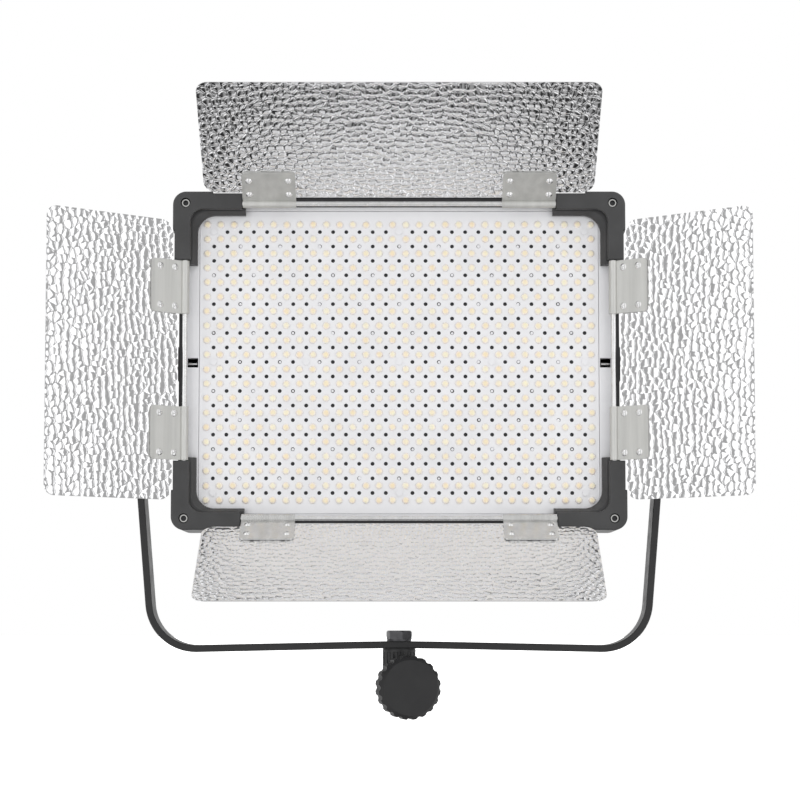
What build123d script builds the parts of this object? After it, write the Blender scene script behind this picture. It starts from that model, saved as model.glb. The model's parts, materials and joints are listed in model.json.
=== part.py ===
"""Bi-colour LED panel light with four barn doors, a U yoke and a stand adapter.

Frame: +Z up, the light shines towards -Y, +X is the right-hand side seen from the front. The origin
is the centre of the stand socket's mouth. Millimetres.

The panel and all that it carries are drawn in the panel's own frame, u to the right, v up and n
forward out of the LED board's front face, and PANEL puts them on the pivot axis. A barn door is
drawn in its leaf frame, u away from the hinge rod, a along the rod and w towards the lit side.
"""

import os
from math import cos, pi, sin

from build123d import *

# ---- driving dimensions -----------------------------------------------------------------------

PIVOT_Z = 258.0  # tilt axis above the stand socket's mouth
PIVOT_N = -14.0  # tilt axis, behind the LED board's face

LED_COLUMNS, LED_ROWS = 30, 20
LED_PITCH_U, LED_PITCH_V = 10.0, 11.0
LED_R, LED_HEIGHT = 2.5, 1.6

BOARD = (301.0, 229.0, 1.6)
HOUSING = (331.0, 246.4)  # outside of the frame
HOUSING_WALL = 3.5
HOUSING_CORNER_R = 6.0
HOUSING_FRONT, HOUSING_BACK = 5.0, -36.0
BACK_FACE = -46.0

GUARD = (340.0, 254.8)  # outside of the corner guards
GUARD_CORNER_R = 10.0
GUARD_FRONT, GUARD_LIP_FRONT, GUARD_BACK = 14.0, 8.5, -40.0
GUARD_FACE_OPENING = (313.0, 227.8)
GUARD_LIP_OPENING = (304.0, 221.6)
GUARD_ARM_END = (118.0, 75.5)  # where the arms stop, from the panel's centre lines
GUARD_LIP_END = (115.8, 72.7)
GUARD_STEP = 1.3  # the arms are this much slimmer past GUARD_STEP_AT from the corner
GUARD_STEP_AT = 30.0
GUARD_BRIM = 4.4  # where the lip's slope meets its inner wall
GUARD_EDGE_R, GUARD_BRIM_R = 1.6, 1.4
GUARD_SCREW = (160.4, 118.7)

HINGE_AXIS = (160.7, 118.5)  # hinge rods, from the panel's centre lines
HINGE_N = 10.0
ROD_R = 1.75
ROD_IN_GUARD = 8.0

SHEET = 1.2  # barn-door sheet, with its hammered relief
SHEET_START, SHEET_SHOULDER = 4.8, 11.5  # from the rod to the tab and to the wide part
SHEET_OUTER_R, SHEET_INNER_R = 8.0, 10.0
PLATE = 1.3  # hinge-plate sheet
PLATE_LENGTH, PLATE_REACH = 40.0, 28.5
KNUCKLE_R = 3.2
SCREW_ROWS, SCREW_SPREAD = (8.4, 20.9), 14.7

# name: turn about the panel's normal, axis distance, half length, depth, tab half, plate centre,
# opening at rest from the panel's plane
LEAVES = {
    "right": (0, HINGE_AXIS[0], 105.0, 114.0, 72.0, 55.0, 35.0),
    "top": (90, HINGE_AXIS[1], 146.2, 107.6, 115.0, 97.5, 49.0),
    "left": (180, HINGE_AXIS[0], 105.0, 114.0, 72.0, 55.0, 36.0),
    "bottom": (270, HINGE_AXIS[1], 146.2, 107.6, 115.0, 97.5, 55.5),
}

BAR_WIDTH, BAR_THICK, BAR_EDGE_R = 25.0, 5.2, 0.8  # yoke bar
BAR_BOTTOM = 42.7  # its underside at the middle
BAR_SLOPE = 1.2  # degrees, from the ends up to the bowed middle
ARM_X = 195.0  # middle of the upright part of an arm
ARM_JOG = 120.0  # height above the bar at which the arm turns upright
ARM_SPREAD = 10.3  # how far the arm leans out below that, down to the bar's level
YOKE_CORNER_R = 35.5
YOKE_JOG_R = 25.0
YOKE_BOW_R = 1500.0

STUD_R = 3.0  # M6
RUNNING = 0.05  # radial clearance of a shaft in its hole
BOLT_R, BOLT_HEAD_AF, BOLT_HEAD = 5.0, 17.0, 6.4  # M10
BOLT_TURN = -15.0
SOCKET_R, SOCKET_DEPTH = 8.0, 31.5
ADAPTER_R, ADAPTER_FLUTES = 12.5, 14
KNOB_Z, KNOB_TURN = 14.1, 13.0  # height of the lock knob, and its turn towards +X
KNOB_R, KNOB_FLUTES = 23.6, 20
KNOB_NEAR, KNOB_FAR = 19.5, 38.5
LOCK_R, LOCK_INSERT_R = 4.0, 5.0  # M8 lock stud and its insert
TILT_KNOB_R, TILT_KNOB_FLUTES = 18.0, 14

BATTERY = (62.0, -32.0)  # centres of the battery plates, left and right
BATTERY_PLATE = (44.0, 78.0, 6.0)
DISPLAY = (0.0, 78.0)
DISPLAY_SIZE = (62.0, 28.0)
DIALS = (58.0, 78.0)
DIAL_R = 12.0
BUTTONS = (16.0, 48.0)
BUTTON_R = 4.5
COVER_WALL = 2.5
RELEASE_V = -32.9  # the release tab's stem, from the battery plate's centre
SWITCH = (0.0, -20.0)
SWITCH_SIZE = (13.0, 19.0)
SWITCH_PIVOT, SWITCH_TILT = 1.5, 7.0  # pivot inside the back face, and the rocker's lean when off
INLET = (0.0, -62.0)

PANEL = Location((0, PIVOT_N, PIVOT_Z), (90, 0, 0))
FOUR = [(1, 1), (-1, 1), (-1, -1), (1, -1)]
SIDES = {"left": -1, "right": 1}

nodes = {}


# ---- helpers ----------------------------------------------------------------------------------


def block(low, high):
    """A box between two corners."""
    size = [b - a for a, b in zip(low, high)]
    return Pos(*[(a + b) / 2 for a, b in zip(low, high)]) * Box(*size)


def rod(radius, start, length, axis="Z"):
    """A cylinder from start, of this length, along an axis."""
    turn = {"X": Rot(0, 90, 0), "Y": Rot(-90, 0, 0), "Z": Rot(0, 0, 0)}[axis]
    lift = Pos(0, 0, length / 2)
    return Pos(*start) * turn * lift * Cylinder(radius, length)


def rounded(width, height, radius):
    return RectangleRounded(width, height, radius)


def plate(sketch, low, high):
    """A sketch in the XY plane, made solid from z = low to z = high."""
    return Pos(0, 0, low) * extrude(sketch, high - low)


def on_panel(shape):
    return PANEL * shape


def in_rows(columns, rows, pitch_u, pitch_v):
    """Centres of a grid about the origin, row by row."""
    for j in range(rows):
        for i in range(columns):
            yield (i - (columns - 1) / 2) * pitch_u, (j - (rows - 1) / 2) * pitch_v


def group(solids):
    return Compound(children=list(solids))


def fluted(radius, flutes, depth, turn=0.0):
    """A round outline with shallow flutes: each is an arc cut out of the rim."""
    cutter = radius * sin(pi / flutes) * 0.72
    centre = radius - depth + cutter
    cuts = [
        Pos(centre * cos(2 * pi * k / flutes + turn), centre * sin(2 * pi * k / flutes + turn))
        * Circle(cutter)
        for k in range(flutes)
    ]
    return Circle(radius) - cuts


# ---- stand adapter ----------------------------------------------------------------------------


def lock_place():
    """The lock knob's frame: Z runs out of the adapter along the knob's axis."""
    return Pos(0, 0, KNOB_Z) * Rot(0, 0, KNOB_TURN) * Rot(90, 0, 0)


def stand_adapter():
    """A fluted cylinder with a blind socket for a 5/8 inch stand spigot."""
    top = BAR_BOTTOM - 1.1
    flutes = [
        Rot(0, 0, k * 360 / ADAPTER_FLUTES) * Pos(ADAPTER_R + 1.1, 0) * Circle(2.3)
        for k in range(ADAPTER_FLUTES)
    ]
    body = plate(Circle(ADAPTER_R) - flutes, 2.5, top - 1.5)
    body += rod(ADAPTER_R, (0, 0, 0), 2.5) + rod(ADAPTER_R, (0, 0, top - 1.5), 1.5)
    pad = lock_place() * rod(8.5, (0, 0, 10.5), 3.5)
    body = body + pad
    body -= rod(SOCKET_R, (0, 0, 0), SOCKET_DEPTH)
    body -= rod(BOLT_R, (0, 0, SOCKET_DEPTH), top)
    body -= lock_place() * rod(LOCK_INSERT_R, (0, 0, 5), 12)
    return body


def lock_insert():
    """Brass threaded bush for the lock stud, pressed into the adapter's wall."""
    ring = rod(LOCK_INSERT_R, (0, 0, 9.0), 5.0) - rod(LOCK_R + RUNNING, (0, 0, 8), 8)
    return lock_place() * ring


def clamp_pad():
    """Brass pad at the stud's tip, which presses on the spigot."""
    pad = rod(3.6, (0, 0, 8.4), 1.6)
    return lock_place() * pad


def lock_stud():
    return lock_place() * rod(LOCK_R, (0, 0, 10.05), KNOB_NEAR + 9 - 10.05)


def fluted_knob(radius, flutes, thick, hub_r, hub, bore_r, bore):
    """A knob with a fluted rim and a bevelled face, with its hub's foot at z = 0."""
    rim = plate(fluted(radius, flutes, 1.35), hub, hub + thick)
    bevel = Pos(0, 0, hub + thick / 2) * Cone(radius + thick * 0.75, radius - 3.2, thick)
    foot = rod(hub_r, (0, 0, 0), hub)
    back = Pos(0, 0, hub + thick / 2) * Cone(radius - 2.0, radius + thick, thick)
    return (rim & bevel & back) + foot - rod(bore_r, (0, 0, -1), bore + 1)


def stand_knob():
    knob = fluted_knob(KNOB_R, KNOB_FLUTES, KNOB_FAR - KNOB_NEAR - 2, 10.0, 2.0, LOCK_R, 9.0)
    return lock_place() * Pos(0, 0, KNOB_NEAR) * knob


def yoke_bolt():
    """Hex bolt through the bar into the adapter, with a chamfered head."""
    seat = BAR_BOTTOM + BAR_THICK + 1.6
    across_corners = BOLT_HEAD_AF / cos(pi / 6)
    head = plate(Rot(0, 0, BOLT_TURN) * RegularPolygon(across_corners / 2, 6), seat, seat + BOLT_HEAD)
    top = Pos(0, 0, seat + BOLT_HEAD / 2) * Cone(
        across_corners / 2 + BOLT_HEAD, across_corners / 2 - 1.3, BOLT_HEAD
    )
    return (head & top) + rod(BOLT_R - 0.01, (0, 0, SOCKET_DEPTH + 0.5), seat - SOCKET_DEPTH - 0.5)


def bolt_washer():
    """Flat washer between the bolt's head and the bar."""
    low = BAR_BOTTOM + BAR_THICK + 0.05
    return rod(9.2, (0, 0, low), 1.5) - rod(BOLT_R + 0.2, (0, 0, low - 1), 4)


def swivel_washer():
    """Nylon washer on which the bar turns."""
    low = BAR_BOTTOM - 1.1
    return rod(12.2, (0, 0, low), 1.0) - rod(BOLT_R + 0.2, (0, 0, low - 1), 4)


nodes["stand_adapter"] = stand_adapter()
nodes["lock_insert"] = lock_insert()
nodes["yoke_bolt"] = yoke_bolt()
nodes["bolt_washer"] = bolt_washer()
nodes["swivel_washer"] = swivel_washer()
nodes["clamp_pad"] = clamp_pad()
nodes["lock_stud"] = lock_stud()
nodes["stand_knob"] = stand_knob()


# ---- yoke -------------------------------------------------------------------------------------


def yoke():
    """A flat bar bent to a U: bowed floor, leaning arms, upright ends round the tilt axis."""
    middle = BAR_BOTTOM + BAR_THICK / 2
    jog = middle + ARM_JOG
    foot_x = ARM_X - ARM_SPREAD
    slope = BAR_SLOPE * pi / 180
    peak = middle + YOKE_BOW_R * (1 / cos(slope) - 1)
    floor = peak - foot_x * sin(slope)
    half = [(ARM_X, PIVOT_Z), (ARM_X, jog), (foot_x, floor), (0, peak)]
    points = [(-x, 0, z) for x, z in half] + [(x, 0, z) for x, z in half[-2::-1]]
    radii = [YOKE_JOG_R, YOKE_CORNER_R, YOKE_BOW_R, YOKE_CORNER_R, YOKE_JOG_R]
    path = FilletPolyline(*points, radius=radii)
    start = Plane(origin=points[0], z_dir=(0, 0, -1), x_dir=(1, 0, 0))
    bar = sweep(start * rounded(BAR_THICK, BAR_WIDTH, BAR_EDGE_R), path=path)
    for side in (-1, 1):
        face = side * ARM_X - BAR_THICK / 2
        end = rod(BAR_WIDTH / 2, (face, 0, PIVOT_Z), BAR_THICK, "X")
        bar += fillet(end.edges().filter_by(GeomType.CIRCLE), BAR_EDGE_R)
    for side in (-1, 1):
        face = side * ARM_X - BAR_THICK / 2
        bar -= rod(STUD_R + RUNNING, (face - 1, 0, PIVOT_Z), BAR_THICK + 2, "X")
    return bar - rod(BOLT_R + RUNNING, (0, 0, BAR_BOTTOM - 5), 15)


def friction_washers():
    """Nylon washers on the inner faces of the arms."""
    washers = []
    for side in (-1, 1):
        inner = ARM_X - BAR_THICK / 2
        low = side * (inner - 0.4) - 0.4
        ring = rod(13.0, (low, 0, PIVOT_Z), 0.8, "X")
        washers.append(ring - rod(STUD_R + 0.3, (low - 1, 0, PIVOT_Z), 3, "X"))
    return group(washers)


nodes["yoke"] = yoke()
nodes["friction_washers"] = friction_washers()


# ---- tilt knobs and bosses --------------------------------------------------------------------


def outwards(side):
    """The tilt axis's frame on one side: Z runs outwards, from the panel's centre plane."""
    return Pos(0, 0, PIVOT_Z) * Rot(0, side * 90, 0)


def pivot_boss(side):
    """Flanged cone that carries the panel's weight, with the stud's thread."""
    foot, tip = HOUSING[0] / 2 + 0.02, ARM_X - BAR_THICK / 2 - 0.85
    cone_foot = foot + 4
    cone = Pos(0, 0, (cone_foot + tip) / 2) * Cone(11.5, 9.0, tip - cone_foot)
    flange = plate(Circle(13.0), foot, cone_foot)
    bore = rod(STUD_R + RUNNING, (0, 0, foot - 1), tip - foot + 2)
    return outwards(side) * (flange + cone - bore)


def tilt_stud(side):
    end = ARM_X + BAR_THICK / 2 + 12
    return outwards(side) * rod(STUD_R, (0, 0, 153.3), end - 153.3)


def tilt_knob(side):
    knob = fluted_knob(TILT_KNOB_R, TILT_KNOB_FLUTES, 16.0, 9.0, 8.0, STUD_R, 12.0)
    seat = ARM_X + BAR_THICK / 2 + 0.05
    return outwards(side) * Pos(0, 0, seat) * knob


nodes["pivot_bosses"] = group(pivot_boss(side) for side in (-1, 1))
for name, side in SIDES.items():
    nodes[f"tilt_stud_{name}"] = tilt_stud(side)
    nodes[f"tilt_knob_{name}"] = tilt_knob(side)


# ---- housing ----------------------------------------------------------------------------------


def housing_frame():
    """Aluminium frame: outer walls, a shelf under the board, corner posts and screw ports."""
    width, height = HOUSING
    outline = rounded(width, height, HOUSING_CORNER_R)
    inside = Rectangle(width - 2 * HOUSING_WALL, height - 2 * HOUSING_WALL)
    frame = plate(outline - inside, HOUSING_BACK, HOUSING_FRONT)
    shelf = Rectangle(width - 4, height - 4) - Rectangle(286, 214)
    frame += plate(shelf, -7.6, -4.65)
    for su, sv in FOUR:
        u, v = su * GUARD_SCREW[0], sv * GUARD_SCREW[1]
        port = plate(Pos(u, v) * Circle(4.2) & outline, -6.0, HOUSING_FRONT)
        frame += port
        post_u, post_v = su * (width / 2 - 9), sv * (height / 2 - 9)
        frame += plate(Pos(post_u, post_v) * Rectangle(13, 13), HOUSING_BACK, -7.0)
    for su, sv in FOUR:
        u, v = su * GUARD_SCREW[0], sv * GUARD_SCREW[1]
        frame -= rod(1.55, (u, v, -5.0), 12)
        post_u, post_v = su * (width / 2 - 9), sv * (height / 2 - 9)
        frame -= rod(1.55, (post_u, post_v, HOUSING_BACK - 1), 14)
    for side in (-1, 1):
        wall = side * (width / 2 - HOUSING_WALL / 2)
        frame -= rod(STUD_R + RUNNING, (wall - 6, 0, PIVOT_N), 12, "X")
        notch = block((side * 156 - 4.5, -4.3, -9), (side * 156 + 4.5, 2.9, -4))
        frame -= notch
    return frame


def front_bezel():
    """White flange between the board's edge and the housing, notched over the studs' ends."""
    outer = Rectangle(319.6, 235.2) - [
        Pos(su * GUARD_SCREW[0], sv * GUARD_SCREW[1]) * Circle(6.0) for su, sv in FOUR
    ]
    bezel = plate(outer - Rectangle(301.6, 229.6), -3.5, 1.0)
    for side in (-1, 1):
        bezel -= block((side * 155.5 - 4.1, -4.3, -5), (side * 155.5 + 4.1, 2.9, 3))
    return bezel


def board_screw_places():
    """Screws in the board's holes: the corners, mid edges and a few inside."""
    reach_u, reach_v = 14 * LED_PITCH_U, 9 * LED_PITCH_V
    edge = [(su * reach_u, sv * reach_v) for su, sv in FOUR]
    edge += [(0, reach_v), (0, -reach_v), (reach_u, 0), (-reach_u, 0)]
    return edge + [(0, 0), (reach_u / 2, 0), (-reach_u / 2, 0)]


def led_board():
    board = plate(rounded(BOARD[0], BOARD[1], 2.0), -BOARD[2], 0)
    for u, v in board_screw_places():
        board -= rod(1.6, (u, v, -3), 4)
    return board


def leds():
    """LED packages: low domes, one solid each."""
    dome = plate(Circle(LED_R), 0, LED_HEIGHT * 0.55)
    dome += Pos(0, 0, LED_HEIGHT * 0.775) * Cone(LED_R, LED_R * 0.7, LED_HEIGHT * 0.45)
    places = in_rows(LED_COLUMNS, LED_ROWS, LED_PITCH_U, LED_PITCH_V)
    return group(PANEL * Pos(u, v, 0.02) * dome for u, v in places)


def board_screws():
    screw = rod(2.4, (0, 0, 0.02), 1.1) + rod(1.25, (0, 0, -6.0), 6.1)
    return group(PANEL * Pos(u, v, 0) * screw for u, v in board_screw_places())


def heat_spreader():
    """Finned aluminium plate behind the board."""
    spreader = plate(Rectangle(300, 228), -4.6, -BOARD[2] - 0.02)
    for k in range(11):
        u = (k - 5) * 26.0
        spreader += block((u - 1, -98, -16), (u + 1, 98, -4.5))
    for u, v in board_screw_places():
        spreader -= rod(1.3, (u, v, -7), 6)
    return spreader


def guard():
    """Corner guard for the +u +v corner: skirt, face and stepped lip."""

    def l_shape(outer_u, outer_v, inner_u, inner_v, end_u, end_v, outer_r, inner_r):
        """An L between two nested corners, cut off at its arms' ends."""
        outer = rounded(2 * outer_u, 2 * outer_v, outer_r)
        inner = rounded(2 * inner_u, 2 * inner_v, inner_r)
        reach = Rectangle(400, 400, align=(Align.MIN, Align.MIN))
        horizontal = Pos(end_u, inner_v - inner_r) * reach
        vertical = Pos(inner_u - inner_r, end_v) * reach
        return (outer - inner) & (horizontal + vertical)

    out_u, out_v = GUARD[0] / 2, GUARD[1] / 2
    face_u, face_v = (s / 2 for s in GUARD_FACE_OPENING)
    lip_u, lip_v = (s / 2 for s in GUARD_LIP_OPENING)
    body_u, body_v = HOUSING[0] / 2 + 0.1, HOUSING[1] / 2 + 0.1
    face = l_shape(out_u, out_v, face_u, face_v, *GUARD_ARM_END, GUARD_CORNER_R, 9.1)
    solid = plate(face, HOUSING_FRONT + 0.1, GUARD_FRONT)
    skirt = l_shape(out_u, out_v, body_u, body_v, *GUARD_ARM_END, GUARD_CORNER_R, 6.1)
    solid += plate(skirt, GUARD_BACK, HOUSING_FRONT + 1)
    lip = l_shape(159.8, 117.6, lip_u, lip_v, *GUARD_LIP_END, 3.0, 13.6)
    lip_solid = plate(lip, 1.1, GUARD_LIP_FRONT)
    slope = loft(
        [
            Pos(0, 0, GUARD_BRIM) * rounded(2 * lip_u, 2 * lip_v, 13.6),
            Pos(0, 0, 8.6) * rounded(2 * lip_u + 7.0, 2 * lip_v + 4.9, 12.0),
        ]
    )
    solid += lip_solid - slope
    slim_u = block((0, out_v - GUARD_STEP, -99), (out_u - GUARD_STEP_AT, 200, 99))
    slim_v = block((out_u - GUARD_STEP, 0, -99), (200, out_v - GUARD_STEP_AT, 99))
    solid -= [slim_u, slim_v]
    front = solid.faces().filter_by(Axis.Z).sort_by(Axis.Z)[-1]
    solid = fillet(front.outer_wire().edges(), GUARD_EDGE_R)
    brim = solid.edges().filter_by_position(Axis.Z, GUARD_BRIM - 0.01, GUARD_BRIM + 0.01)
    solid = fillet(brim, GUARD_BRIM_R)
    solid -= rod(3.7, (*GUARD_SCREW, GUARD_FRONT - 4.0), 10)
    solid -= rod(1.7, (*GUARD_SCREW, 0), 20)
    solid -= rod(4.3, (*GUARD_SCREW, 0), HOUSING_FRONT + 0.1)
    across, upright = (0, HINGE_AXIS[1], HINGE_N), (HINGE_AXIS[0], 0, HINGE_N)
    for start, end, axis in zip((across, upright), GUARD_ARM_END, "XY"):
        solid -= rod(ROD_R + 0.02, start, end + ROD_IN_GUARD + 0.1, axis)
        solid -= rod(KNUCKLE_R + 0.4, start, end, axis)
    return solid


def guard_screws():
    """Button-head screws with round sockets, sunk in the guards."""
    low = GUARD_FRONT - 3.95
    head = rod(3.3, (0, 0, low), 2.4) - rod(1.8, (0, 0, low + 0.9), 3)
    screw = head + rod(1.5, (0, 0, -4.0), low + 4.1)
    return group(
        PANEL * Pos(su * GUARD_SCREW[0], sv * GUARD_SCREW[1], 0) * screw for su, sv in FOUR
    )


def hinge_rods():
    reach_u = GUARD_ARM_END[0] + ROD_IN_GUARD
    reach_v = GUARD_ARM_END[1] + ROD_IN_GUARD
    rods = []
    for side in (-1, 1):
        across = rod(ROD_R, (-reach_u, side * HINGE_AXIS[1], HINGE_N), 2 * reach_u, "X")
        upright = rod(ROD_R, (side * HINGE_AXIS[0], -reach_v, HINGE_N), 2 * reach_v, "Y")
        rods += [PANEL * across, PANEL * upright]
    return group(rods)


nodes["housing_frame"] = on_panel(housing_frame())
nodes["front_bezel"] = on_panel(front_bezel())
nodes["led_board"] = on_panel(led_board())
nodes["leds"] = leds()
nodes["board_screws"] = board_screws()
nodes["heat_spreader"] = on_panel(heat_spreader())

corner = guard()
across_corner = mirror(corner, about=Plane.YZ)
nodes["guard_top_right"] = on_panel(corner)
nodes["guard_top_left"] = on_panel(across_corner)
nodes["guard_bottom_right"] = on_panel(mirror(corner, about=Plane.XZ))
nodes["guard_bottom_left"] = on_panel(mirror(across_corner, about=Plane.XZ))
nodes["guard_screws"] = guard_screws()
nodes["hinge_rods"] = hinge_rods()


# ---- barn doors -------------------------------------------------------------------------------


def leaf_place(name):
    """The leaf frame of one barn door at its opening at rest."""
    turn, distance, *_, opening = LEAVES[name]
    return PANEL * Rot(0, 0, turn) * Pos(distance, 0, HINGE_N) * Rot(0, -opening, 0)


def screw_places(plate_centre):
    for centre in (-plate_centre, plate_centre):
        for offset in (-SCREW_SPREAD, SCREW_SPREAD):
            for u in SCREW_ROWS:
                yield u, centre + offset


def leaf_sheet(name):
    """The door's sheet: a wide part with round corners and a tab between the guards."""
    _, _, half, depth, tab, plate_centre, _ = LEAVES[name]
    wide = depth - SHEET_SHOULDER
    outline = Pos(SHEET_SHOULDER + wide / 2, 0) * Rectangle(wide, 2 * half)
    by_distance = outline.vertices().sort_by(Axis.X)
    outline = fillet(by_distance[:2], SHEET_INNER_R)
    outline = fillet(outline.vertices().sort_by(Axis.X)[-2:], SHEET_OUTER_R)
    tongue = SHEET_SHOULDER + 5 - SHEET_START
    outline += Pos(SHEET_START + tongue / 2, 0) * Rectangle(tongue, 2 * tab)
    sheet = plate(outline, -PLATE - SHEET, -PLATE - 0.01)
    for u, a in screw_places(plate_centre):
        sheet -= rod(1.55, (u, a, -5), 6)
    return leaf_place(name) * sheet


def hinge_plates(name):
    """Two steel plates, each rolled round the rod."""
    plate_centre = LEAVES[name][5]
    outline = Pos(PLATE_REACH / 2, 0) * Rectangle(PLATE_REACH, PLATE_LENGTH)
    outline = fillet(outline.vertices().sort_by(Axis.X)[-2:], 3.0)
    flat = plate(outline, -PLATE, 0)
    knuckle = rod(KNUCKLE_R, (0, -PLATE_LENGTH / 2, 0), PLATE_LENGTH, "Y")
    bore = rod(ROD_R + RUNNING, (0, -PLATE_LENGTH, 0), 2 * PLATE_LENGTH, "Y")
    single = flat + knuckle - bore
    for u in SCREW_ROWS:
        for a in (-SCREW_SPREAD, SCREW_SPREAD):
            single -= rod(1.55, (u, a, -5), 6)
    place = leaf_place(name)
    return group(place * Pos(0, side * plate_centre, 0) * single for side in (-1, 1))


def hinge_screws(name):
    """Domed screws with cross recesses through plate and sheet, riveted over at the back."""
    dome_r, dome_h = 2.65, 1.3
    ball_r = (dome_r**2 + dome_h**2) / (2 * dome_h)
    ball = Pos(0, 0, 0.01 + dome_h - ball_r) * Sphere(ball_r)
    dome = ball & block((-5, -5, 0.01), (5, 5, 5))
    tail = rod(2.2, (0, 0, -PLATE - SHEET - 0.71), 0.7)
    shank = rod(1.5, (0, 0, -PLATE - SHEET - 0.3), PLATE + SHEET + 0.3)
    recess = [block((-1.6, -0.35, 0.35), (1.6, 0.35, 5)), block((-0.35, -1.6, 0.35), (0.35, 1.6, 5))]
    screw = dome + shank + tail - [Rot(0, 0, 20) * slot for slot in recess]
    place = leaf_place(name)
    return group(place * Pos(u, a, 0) * screw for u, a in screw_places(LEAVES[name][5]))


for name in LEAVES:
    nodes[f"leaf_{name}"] = leaf_sheet(name)
    nodes[f"hinge_plates_{name}"] = hinge_plates(name)
    nodes[f"hinge_screws_{name}"] = hinge_screws(name)


# ---- back of the housing ----------------------------------------------------------------------


def cover_screw_places():
    return [(su * (HOUSING[0] / 2 - 9), sv * (HOUSING[1] / 2 - 9)) for su, sv in FOUR]


def back_cover():
    """Shallow plastic tray with vents and the openings for the controls."""
    width, height = HOUSING[0] - 0.4, HOUSING[1] - 0.4
    rim_u, rim_v = width - 16, height - 16
    outer = plate(rounded(width, height, 8.0), -40.0, HOUSING_BACK - 0.02)
    outer += loft(
        [
            Pos(0, 0, -40.0) * rounded(width, height, 8.0),
            Pos(0, 0, BACK_FACE) * rounded(rim_u, rim_v, 8.0),
        ]
    )
    cover = outer - plate(rounded(rim_u - 4, rim_v - 4, 5.0), BACK_FACE + COVER_WALL, 0)
    holes = []
    for k in range(25):
        u = (k - 12) * 10.0
        for v in (103.0, -103.0):
            holes.append(plate(Pos(u, v) * SlotOverall(14, 3.0, rotation=90), -50, -40))
    for k in range(7):
        v = -62.0 + k * 10.0
        for u in (-122.0, 122.0):
            holes.append(plate(Pos(u, v) * SlotOverall(30, 3.0), -50, -40))
    holes.append(plate(Pos(*DISPLAY) * Rectangle(56, 22), -50, -40))
    for side in (-1, 1):
        holes.append(rod(3.3, (side * DIALS[0], DIALS[1], -50), 10))
        holes.append(rod(BUTTON_R + 0.3, (side * BUTTONS[0], BUTTONS[1], -50), 10))
        holes.append(rod(2.0 + RUNNING, (side * BATTERY[0], BATTERY[1] + RELEASE_V, -50), 10))
    holes.append(plate(Pos(*SWITCH) * Rectangle(*SWITCH_SIZE), -50, -40))
    holes.append(rod(5.6, (*INLET, -50), 10))
    for u, v in cover_screw_places():
        holes.append(rod(1.7, (u, v, -50), 15))
        holes.append(rod(3.4, (u, v, -50), 10 + 3.0))
    return cover - holes


def cover_screws():
    head_low = -39.8
    screw = rod(3.0, (0, 0, head_low), 2.6 - 0.02) + rod(1.5, (0, 0, head_low + 1), 12)
    screw -= rod(1.4, (0, 0, head_low - 1), 2.2)
    return group(PANEL * Pos(u, v, 0) * screw for u, v in cover_screw_places())


def display_window():
    """Clear window over the display, with a raised rim."""
    u, v = DISPLAY
    rim = Pos(u, v) * rounded(*DISPLAY_SIZE, 3.0)
    pane = plate(rim, BACK_FACE - 1.2, BACK_FACE - 0.02)
    return pane + plate(Pos(u, v) * Rectangle(55.4, 21.4), BACK_FACE - 0.5, BACK_FACE + 3.0)


def control_board():
    """Board with the display module, two encoders and two key switches."""
    board = block((-76, 34, -34.6), (76, 98, -33.0))
    board += block((-27, DISPLAY[1] - 10, -42.0), (27, DISPLAY[1] + 10, -34))
    for side in (-1, 1):
        u, v = side * DIALS[0], DIALS[1]
        board += block((u - 6, v - 6, -41.0), (u + 6, v + 6, -34))
        u, v = side * BUTTONS[0], BUTTONS[1]
        board += block((u - 3, v - 3, -39.5), (u + 3, v + 3, -34))
    for side in (-1, 1):
        board -= rod(3.0 + RUNNING, (side * DIALS[0], DIALS[1], -45), 9.5)
        for v in (38.0, 94.0):
            board -= rod(1.6, (side * 72.0, v, -36), 4)
    return board


def driver_board():
    """Power board with its inductors, capacitors and heat sink."""
    board = block((-100, -96, -26.6), (100, -6, -25.0))
    for k in range(4):
        u = -75 + k * 50.0
        board += block((u - 9, -50, -36), (u + 9, -32, -26))
        board += rod(6.0, (u, -72, -40), 14)
    board += block((-60, -22, -38), (60, -14, -26))
    for su in (-1, 1):
        for v in (-91.0, -11.0):
            board -= rod(1.6, (su * 95.0, v, -28), 5)
    return board


def board_spacers():
    """Hex spacers from the heat spreader to the two boards."""
    spots = [(su * 95.0, v, -24.98) for su in (-1, 1) for v in (-91.0, -11.0)]
    spots += [(su * 72.0, v, -32.98) for su in (-1, 1) for v in (38.0, 94.0)]
    return group(
        PANEL * Pos(u, v, low) * extrude(RegularPolygon(3.2, 6), -4.62 - low) for u, v, low in spots
    )


def battery_plate(side):
    """Slide-on plate for a camcorder battery: two hooked rails and a latch window."""
    u, v = side * BATTERY[0], BATTERY[1]
    width, height, thick = BATTERY_PLATE
    low = BACK_FACE - thick
    body = plate(Pos(u, v) * rounded(width, height, 3.0), low + 2.5, BACK_FACE - 0.02)
    for edge in (-1, 1):
        inner, outer = u + edge * (width / 2 - 4), u + edge * width / 2
        body += block((min(inner, outer), v - 30, low), (max(inner, outer), v + 30, low + 3))
        hook = u + edge * (width / 2 - 6)
        for offset in (-18.0, 6.0):
            body += block(
                (min(hook, outer), v + offset, low), (max(hook, outer), v + offset + 10, low + 1.3)
            )
    body -= block((u - 6.2, v - 37, low - 1), (u + 6.2, v - 28.8, BACK_FACE + 1))
    for k in (-1, 0, 1):
        body -= block((u + k * 8 - 1.5, v + 22, low), (u + k * 8 + 1.5, v + 33, BACK_FACE + 1))
    return body


def battery_contacts():
    """Three brass blades in each battery plate."""
    blades = []
    for side in (-1, 1):
        for k in (-1, 0, 1):
            u, v = side * BATTERY[0] + k * 8, BATTERY[1]
            blade = block((u - 0.6, v + 23, BACK_FACE - 5.2), (u + 0.6, v + 32, BACK_FACE - 0.5))
            blades.append(PANEL * blade)
    return group(blades)


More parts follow.
